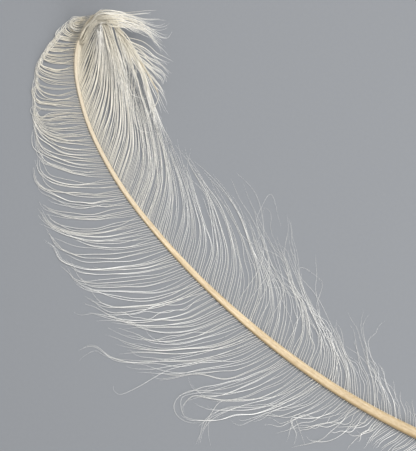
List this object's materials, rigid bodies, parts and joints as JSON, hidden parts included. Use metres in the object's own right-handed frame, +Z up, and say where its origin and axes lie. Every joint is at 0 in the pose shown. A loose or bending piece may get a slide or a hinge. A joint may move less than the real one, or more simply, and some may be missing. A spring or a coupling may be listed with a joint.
{
  "type": "ostrich feather",
  "caption": "White ostrich plume lying flat: a curved tapered shaft with a bare quill, two vanes of long loose barbs, and a tip curled over on itself.",
  "frame": {"origin": "the flat underside of the shaft, where the bare quill ends and the first barbs grow", "axes": "+X along the feather from the quill to the crown of the curled tip, +Y towards the left vane, +Z up from the surface that the feather lies on"},
  "size_m": [0.4805, 0.226, 0.0464],
  "materials": {
    "keratin": "satin, cream horn with faint lengthwise lines",
    "barbs": "soft white down with a faint silky sheen"
  },
  "bodies": {
    "root": {"shaft": "keratin", "left_vane": "barbs", "right_vane": "barbs", "tip_barbs": "barbs"}
  },
  "joints": []
}
